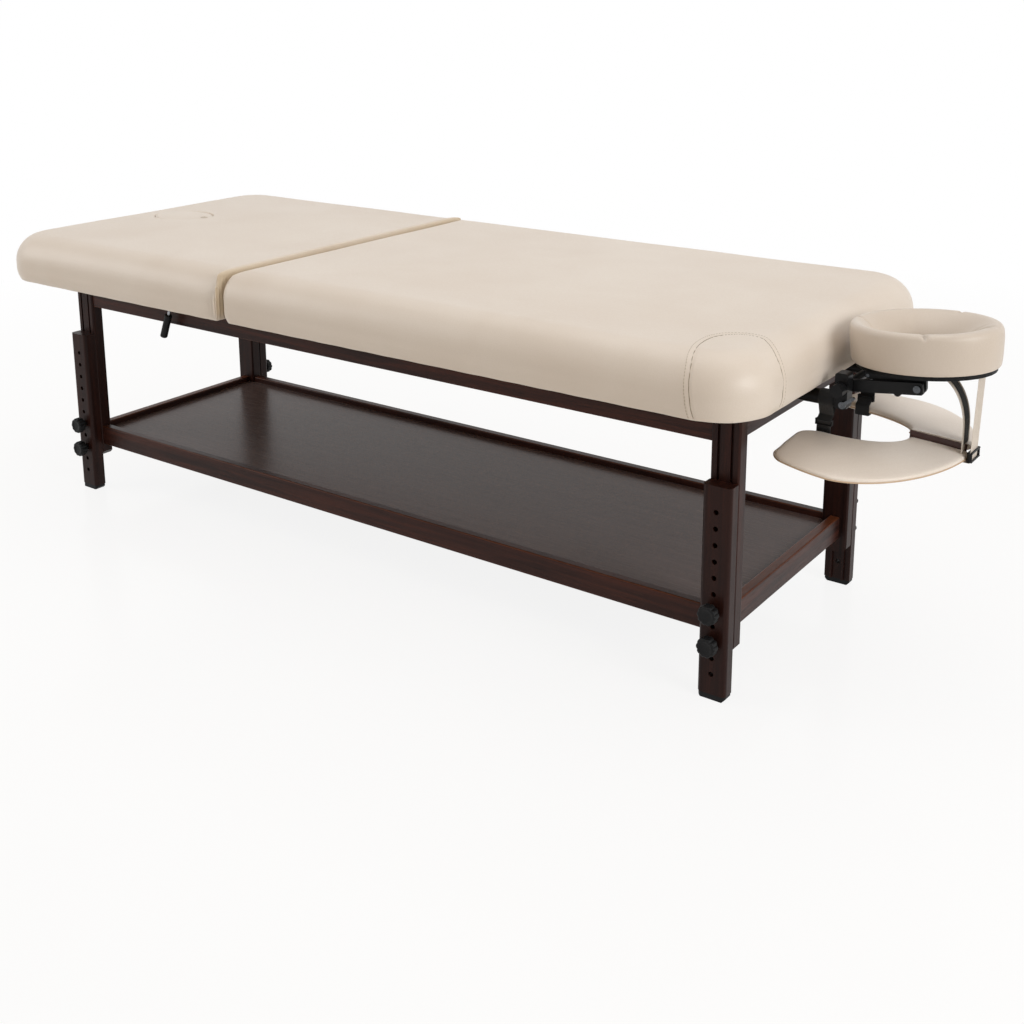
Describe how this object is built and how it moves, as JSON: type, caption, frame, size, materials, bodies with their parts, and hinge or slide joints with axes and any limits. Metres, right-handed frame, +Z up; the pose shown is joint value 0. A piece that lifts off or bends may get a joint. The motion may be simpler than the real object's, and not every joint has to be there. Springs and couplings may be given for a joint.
{
  "type": "stationary massage table",
  "caption": "Stationary massage table with lifting foot-end backrest, height sliders, shelf, face cradle on prongs and a folding hung armrest",
  "frame": {"origin": "on the floor under the middle of the overall box", "axes": "+X towards the face cradle end, +Y to the back long side, +Z up"},
  "size_m": [2.1046, 0.787, 0.6297],
  "materials": {
    "espresso_wood": "glossy espresso stain on solid wood",
    "espresso_veneer": "satin espresso veneer",
    "plywood": "bare birch plywood",
    "cream_leatherette": "soft cream leatherette with a low sheen",
    "black_plastic": "black moulded nylon",
    "black_webbing": "black woven webbing",
    "zinc_steel": "zinc plated steel",
    "black_painted_steel": "black powder coat"
  },
  "bodies": {
    "frame": {"post_front_head": "espresso_wood", "post_front_foot": "espresso_wood", "post_back_head": "espresso_wood", "post_back_foot": "espresso_wood", "top_rail_front": "espresso_wood", "top_rail_back": "espresso_wood", "top_end_rails": "espresso_wood", "cross_bars": "espresso_wood", "shelf_rail_front": "espresso_wood", "shelf_rail_back": "espresso_wood", "shelf_end_rails": "espresso_wood", "shelf_panel": "espresso_veneer", "shelf_cleats": "espresso_wood", "deck_long": "plywood", "cushion_long": "cream_leatherette", "frame_dowels": "espresso_wood", "leg_studs": "zinc_steel", "hinge_leaves_fixed": "zinc_steel", "prop_racks": "black_painted_steel", "prong_sockets": "zinc_steel"},
    "leg_front_head": {"slider_front_head": "espresso_wood", "glide_front_head": "black_plastic"},
    "leg_front_foot": {"slider_front_foot": "espresso_wood", "glide_front_foot": "black_plastic"},
    "leg_back_head": {"slider_back_head": "espresso_wood", "glide_back_head": "black_plastic"},
    "leg_back_foot": {"slider_back_foot": "espresso_wood", "glide_back_foot": "black_plastic"},
    "knob_front_head_upper": {"knob_front_head_upper": "black_plastic"},
    "knob_front_head_lower": {"knob_front_head_lower": "black_plastic"},
    "knob_front_foot_upper": {"knob_front_foot_upper": "black_plastic"},
    "knob_front_foot_lower": {"knob_front_foot_lower": "black_plastic"},
    "knob_back_head_upper": {"knob_back_head_upper": "black_plastic"},
    "knob_back_head_lower": {"knob_back_head_lower": "black_plastic"},
    "knob_back_foot_upper": {"knob_back_foot_upper": "black_plastic"},
    "knob_back_foot_lower": {"knob_back_foot_lower": "black_plastic"},
    "backrest": {"deck_back": "plywood", "cushion_back": "cream_leatherette", "cushion_back_edge": "cream_leatherette", "hinge_leaves_moving": "zinc_steel", "prop_brackets": "zinc_steel"},
    "plug": {"hole_plug": "cream_leatherette"},
    "prop": {"prop_frame": "black_painted_steel"},
    "lever": {"release_lever": "zinc_steel", "lever_grip": "black_plastic"},
    "cradle": {"prongs": "black_painted_steel", "cradle_axle": "black_painted_steel", "side_straps": "black_webbing", "front_strap": "cream_leatherette", "strap_buckles": "black_plastic", "armrest_near": "cream_leatherette"},
    "cradle_swing": {"cradle_arms": "black_painted_steel"},
    "cradle_platform": {"tilt_bracket": "black_painted_steel", "cradle_pins": "zinc_steel", "cradle_plate": "black_plastic", "cradle_cushion": "cream_leatherette"},
    "cam": {"cam_lever": "zinc_steel"},
    "armrest_outer": {"armrest_far": "cream_leatherette", "armrest_hinge": "black_webbing"}
  },
  "joints": [
    {"name": "leg_height_front_head", "type": "slide", "parent": "frame", "child": "leg_front_head", "axis": [0, 0, -1], "range_m": [-0.0572, 0.1144]},
    {"name": "leg_height_front_foot", "type": "slide", "parent": "frame", "child": "leg_front_foot", "axis": [0, 0, -1], "range_m": [-0.0572, 0.1144]},
    {"name": "leg_height_back_head", "type": "slide", "parent": "frame", "child": "leg_back_head", "axis": [0, 0, -1], "range_m": [-0.0572, 0.1144]},
    {"name": "leg_height_back_foot", "type": "slide", "parent": "frame", "child": "leg_back_foot", "axis": [0, 0, -1], "range_m": [-0.0572, 0.1144]},
    {"name": "knob_turn_front_head_upper", "type": "hinge", "parent": "frame", "child": "knob_front_head_upper", "pos_m": [0.7015, -0.282, 0.1608], "axis": [0, -1, 0], "range_deg": [0, 360]},
    {"name": "knob_turn_front_head_lower", "type": "hinge", "parent": "frame", "child": "knob_front_head_lower", "pos_m": [0.7015, -0.282, 0.1036], "axis": [0, -1, 0], "range_deg": [0, 360]},
    {"name": "knob_turn_front_foot_upper", "type": "hinge", "parent": "frame", "child": "knob_front_foot_upper", "pos_m": [-0.9375, -0.282, 0.1608], "axis": [0, -1, 0], "range_deg": [0, 360]},
    {"name": "knob_turn_front_foot_lower", "type": "hinge", "parent": "frame", "child": "knob_front_foot_lower", "pos_m": [-0.9375, -0.282, 0.1036], "axis": [0, -1, 0], "range_deg": [0, 360]},
    {"name": "knob_turn_back_head_upper", "type": "hinge", "parent": "frame", "child": "knob_back_head_upper", "pos_m": [0.7015, 0.282, 0.1608], "axis": [0, 1, 0], "range_deg": [0, 360]},
    {"name": "knob_turn_back_head_lower", "type": "hinge", "parent": "frame", "child": "knob_back_head_lower", "pos_m": [0.7015, 0.282, 0.1036], "axis": [0, 1, 0], "range_deg": [0, 360]},
    {"name": "knob_turn_back_foot_upper", "type": "hinge", "parent": "frame", "child": "knob_back_foot_upper", "pos_m": [-0.9375, 0.282, 0.1608], "axis": [0, 1, 0], "range_deg": [0, 360]},
    {"name": "knob_turn_back_foot_lower", "type": "hinge", "parent": "frame", "child": "knob_back_foot_lower", "pos_m": [-0.9375, 0.282, 0.1036], "axis": [0, 1, 0], "range_deg": [0, 360]},
    {"name": "backrest_lift", "type": "hinge", "parent": "frame", "child": "backrest", "pos_m": [-0.3305, 0, 0.5045], "axis": [0, 1, 0], "range_deg": [0, 60], "deforming": ["cushion_back_edge"]},
    {"name": "prop_swing", "type": "hinge", "parent": "backrest", "child": "prop", "pos_m": [-0.4955, 0, 0.5045], "axis": [0, 1, 0], "range_deg": [-120, 0]},
    {"name": "lever_pull", "type": "hinge", "parent": "frame", "child": "lever", "pos_m": [-0.6195, -0.256, 0.478], "axis": [0, 1, 0], "range_deg": [0, 40], "stiffness_Nm_per_rad": 0.6},
    {"name": "plug_lift", "type": "slide", "parent": "backrest", "child": "plug", "axis": [0, 0, 1], "range_m": [0, 0.12]},
    {"name": "cradle_slide", "type": "slide", "parent": "frame", "child": "cradle", "axis": [1, 0, 0], "range_m": [0, 0.07]},
    {"name": "cradle_swing_joint", "type": "hinge", "parent": "cradle", "child": "cradle_swing", "pos_m": [0.8325, 0, 0.52], "axis": [0, 1, 0], "range_deg": [0, 20], "deforming": ["front_strap"]},
    {"name": "cradle_tilt", "type": "hinge", "parent": "cradle_swing", "child": "cradle_platform", "pos_m": [0.9485, 0, 0.534], "axis": [0, 1, 0], "range_deg": [0, 20], "deforming": ["front_strap"]},
    {"name": "cam_turn", "type": "hinge", "parent": "cradle", "child": "cam", "pos_m": [0.8375, -0.101, 0.494], "axis": [0, 1, 0], "range_deg": [0, 100]},
    {"name": "armrest_fold", "type": "hinge", "parent": "cradle", "child": "armrest_outer", "pos_m": [0.9595, 0, 0.422], "axis": [-0.9976, 0, 0.0698], "range_deg": [0, 78], "deforming": ["side_straps", "front_strap"]}
  ],
  "couplings": [
    {"joint": "prop_swing", "follows": "backrest_lift", "ratio": -2}
  ]
}
